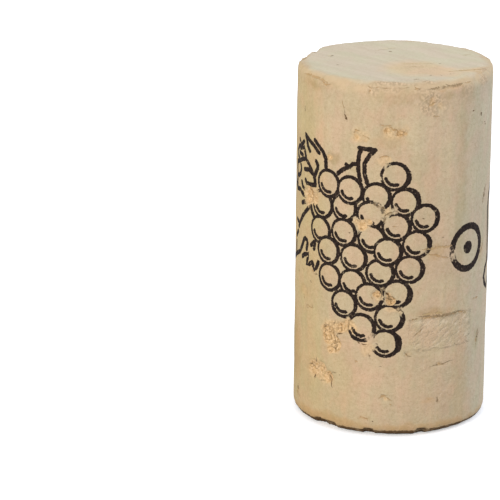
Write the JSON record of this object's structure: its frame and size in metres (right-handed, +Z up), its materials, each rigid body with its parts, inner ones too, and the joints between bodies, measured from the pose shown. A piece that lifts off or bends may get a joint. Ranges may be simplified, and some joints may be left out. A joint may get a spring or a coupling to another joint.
{
  "type": "wine cork",
  "caption": "Straight natural wine cork with rounded rims, worn pits in the bark and a printed bunch of grapes on its side.",
  "frame": {"origin": "centre of the cork's base, on the surface that it stands on", "axes": "+Z up along the cork's own axis, -Y towards the front of the grape print, +X to the right as seen from there"},
  "size_m": [0.024, 0.024, 0.0445],
  "materials": {
    "natural_cork": "matte natural cork with tan pits",
    "print_ink": "dull black ink soaked into the cork"
  },
  "bodies": {
    "root": {"cork": "natural_cork", "grape_print": "print_ink"}
  },
  "joints": []
}
